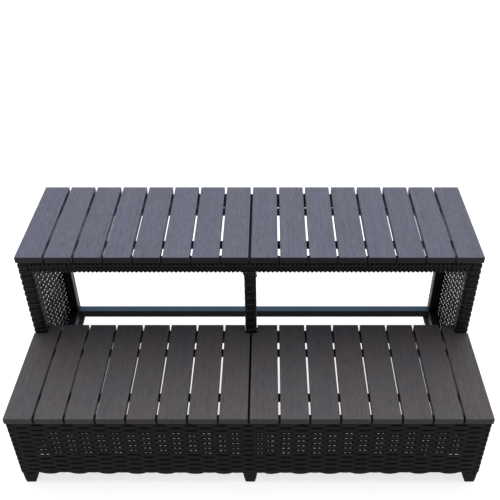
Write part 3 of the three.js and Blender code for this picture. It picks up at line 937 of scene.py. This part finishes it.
def screw_faces(start):
    """The faces of a screw whose first point has the number start."""
    faces = []
    for ring in range(len(SCREW_PROFILE_MM) - 1):
        for step in range(SCREW_SIDES):
            a = start + ring * SCREW_SIDES + step
            b = start + ring * SCREW_SIDES + (step + 1) % SCREW_SIDES
            faces.append((a, a + SCREW_SIDES, b + SCREW_SIDES, b))
    faces.append([start + step for step in range(SCREW_SIDES)])
    last = start + (len(SCREW_PROFILE_MM) - 1) * SCREW_SIDES
    faces.append([last + step for step in reversed(range(SCREW_SIDES))])
    return faces


# ---------------------------------------------------------------- the scene

def finish_nodes():
    """Gives every CAD node that stays in view its material."""
    # The back rail's coat has painted sky light on its top and sides, the other frames' coat on the
    # faces across X, and the tread frames' coat is the same coat darkened as painted shade.
    coats = {
        "back_bottom_rail": frame_finish("sky_lit_powder_coat", top_sky_light=1.0, side_sky_light=0.55),
        "lower_tread_frame": frame_finish("shaded_powder_coat", painted_shade_factor=0.35),
    }
    coats["upper_tread_frame"] = coats["lower_tread_frame"]
    side_coat = frame_finish("powder_coat", side_sky_light=0.55)
    foot = foot_finish()
    for entry in frame["record"]["subparts"]:
        name, slot = entry["node"], entry["material_slot"]
        if slot in BOARDS:
            material = slat_finish(f"{name}_board", name, **BOARDS[slot])
        elif slot == "frame":
            material = coats.get(name, side_coat)
        elif slot == "foot":
            material = foot
        else:
            continue
        materials = frame["nodes"][name].data.materials
        materials.clear()
        materials.append(material)


def build_weave(woven, wound):
    """The woven panels, and the posts whose strands are the ends of the panels' rows. The rear
    posts' strands take in the windings on their legs."""
    panels = ("front", "left_side", "right_side")
    posts = ("left_post", "right_post", "left_rear_post", "right_rear_post")
    strands = {name: Strands() for name in panels + posts}
    plan = WeavePlan()
    rng = random.Random(WEAVE_SEED)
    add_lower_rows(plan, strands, rng)
    add_upper_rows(plan, strands, rng)
    add_stakes(plan, strands)
    for side in ("left", "right"):
        rear = f"{side}_rear"
        add_leg_winding(strands[f"{rear}_post"], f"{rear}_post_wrap", f"{rear}_foot_cap")
    for name in panels:
        strands[name].make(f"{name}_woven_strands", woven, f"{name}_weave")
    for name in posts:
        strands[name].make(f"{name}_woven_strands", wound, f"{name}_wrap")


def build_windings(woven, wound):
    """The centre post, the two upper rails and the three front legs."""
    post_low, post_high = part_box("centre_post_wrap")
    post_half = (post_high.x - post_low.x) / 2
    post_middle = (post_low + post_high) / 2
    half = post_half - WINDING_THICKNESS / 2 - WINDING_RIDE
    post = Strands()
    add_post_winding(post, post_middle, post_low.z, post_high.z, half)
    add_cross_strand(post, post_middle, post_high.z, half)
    post.make("centre_post_winding", wound, "centre_post_wrap")

    for end, tuck, kept_at_post in (("front", BINDER_DROP, "front"), ("rear", 0, "back")):
        node = f"upper_{end}_rail_wrap"
        wrap_low, wrap_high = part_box(node)
        rail_low, rail_high = wrap_low.copy(), wrap_high.copy()
        wrap = (wrap_high.y - wrap_low.y - Places.tube) / 2
        rail_low.y, rail_high.y = wrap_low.y + wrap, wrap_high.y - wrap
        rail_low.z, rail_high.z = Places.upper_frame_low.z, Places.upper_frame_high.z
        rail = Strands()
        add_rail_winding(rail, rail_low, rail_high, wrap, tuck, post_half, kept_at_post)
        if end == "front":
            add_binder(rail, rail_low, rail_high, wrap)
        rail.make(f"upper_{end}_rail_winding", wound, node)

    for name in ("left", "centre", "right"):
        node = f"{name}_front_leg_wrap"
        leg = Strands()
        add_leg_winding(leg, node, f"{name}_front_foot_cap")
        leg.make(f"{name}_front_leg_winding", woven, node)


add_camera()
add_light()
set_world()
bpy.context.scene.view_settings.view_transform = "Standard"
add_floor()
finish_nodes()
# Both strands carry painted shade under their lower edges and a painted highlight on their upper
# edges, brighter on the wound strand.
woven = strand_finish("woven_strand", gloss=0.03, edge_highlight_tone=0.035)
wound = strand_finish("wound_strand", gloss=0.07, edge_highlight_tone=0.17)
build_weave(woven, wound)
build_windings(woven, wound)
add_screws(screw_finish())
